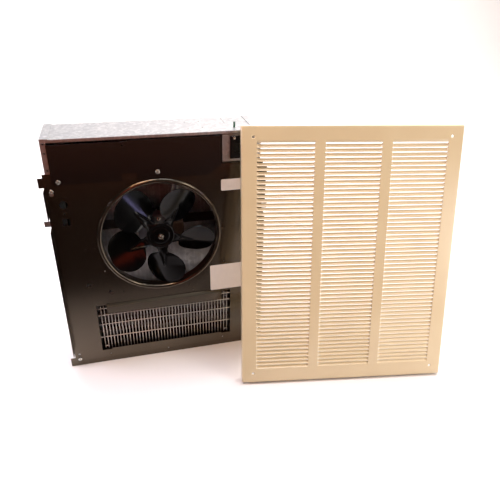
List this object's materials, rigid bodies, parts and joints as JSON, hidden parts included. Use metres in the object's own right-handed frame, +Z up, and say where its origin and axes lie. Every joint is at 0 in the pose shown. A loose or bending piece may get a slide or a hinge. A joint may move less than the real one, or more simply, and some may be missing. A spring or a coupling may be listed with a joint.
{
  "type": "recessed fan heater",
  "caption": "Recessed fan forced wall heater: steel wall box, painted fan panel, finned heating elements behind a wire guard, and its louvred grille leaning on the front.",
  "frame": {"origin": "centre of the wall box's underside", "axes": "+X to the viewer's right along the width, +Y back into the wall, +Z up; the open front faces -Y"},
  "size_m": [0.7304, 0.2929, 0.4745],
  "materials": {
    "galvanised": "zinc coated sheet, soft sheen",
    "brown_paint": "satin dark brown enamel",
    "black_brown_paint": "smooth near black brown enamel",
    "strap_paint": "dull dark enamel",
    "black_paint": "glossy black enamel",
    "almond_enamel": "smooth beige enamel",
    "plated_steel": "bright zinc plated steel",
    "plated_wire": "bright plated wire",
    "core_steel": "laminated electrical steel",
    "fin_steel": "steel fins darkened by heat",
    "cast_zinc": "die cast, matte",
    "bronze": "sintered bronze",
    "brass_screw": "brass",
    "winding": "dark varnished tape over the winding",
    "black_plastic": "moulded, matte",
    "rocker_plastic": "moulded, polished",
    "ivory_plastic": "moulded",
    "brown_plastic": "moulded phenolic",
    "white_ceramic": "unglazed",
    "green_paint": "green finished steel",
    "blank_label": "blank paper label",
    "black_insulation": "insulated wire",
    "white_insulation": "insulated wire"
  },
  "bodies": {
    "housing": {"box_shell": "galvanised", "box_side_left": "galvanised", "box_side_right": "galvanised", "ground_screw": "green_paint", "wiring_shelf": "galvanised", "lead_bushings": "black_plastic", "terminal_block": "ivory_plastic", "terminal_screws": "brass_screw", "control_bracket": "galvanised", "switch_body": "black_plastic", "switch_screws": "plated_steel", "fan_panel": "brown_paint", "panel_screws": "plated_steel", "wiring_cover": "black_brown_paint", "cover_screws": "plated_steel", "outlet_guard": "plated_wire", "rating_plate": "blank_label", "airflow_label": "blank_label", "motor_strap": "strap_paint", "strap_rivets": "plated_steel", "motor_stator": "core_steel", "motor_coil": "winding", "motor_front_bracket": "cast_zinc", "motor_rear_bracket": "cast_zinc", "motor_bearings": "bronze", "motor_screws": "plated_steel", "motor_spacers": "plated_steel", "motor_nuts": "plated_steel", "element_upper": "fin_steel", "element_lower": "fin_steel", "element_bracket_left": "galvanised", "element_bracket_right": "galvanised", "element_insulators": "white_ceramic", "element_pins": "plated_steel", "air_deflector": "brown_paint", "fan_delay_switch": "brown_plastic", "thermal_cutout": "brown_plastic", "supply_leads": "black_insulation", "motor_leads": "white_insulation", "element_leads": "black_insulation"},
    "fan": {"motor_shaft": "plated_steel", "motor_rotor": "core_steel", "fan_blades": "black_paint", "fan_hub": "cast_zinc", "shaft_nut": "plated_steel"},
    "rocker": {"switch_rocker": "rocker_plastic"},
    "reset": {"reset_button": "black_plastic"},
    "grille": {"grille": "almond_enamel"}
  },
  "joints": [
    {"name": "fan_spin", "type": "hinge", "parent": "housing", "child": "fan", "pos_m": [-0.003, -0.047, 0.2713], "axis": [0, 1, 0], "continuous": true},
    {"name": "switch_rock", "type": "hinge", "parent": "housing", "child": "rocker", "pos_m": [0.1474, -0.043, 0.429], "axis": [0, 0, 1], "range_deg": [0, 16]},
    {"name": "reset_press", "type": "slide", "parent": "housing", "child": "reset", "axis": [0, 1, 0], "range_m": [0, 0.002], "stiffness_N_per_m": 400},
    {"name": "grille_lift", "type": "slide", "parent": "housing", "child": "grille", "axis": [0, 0, 1], "range_m": [0, 0.55]}
  ]
}
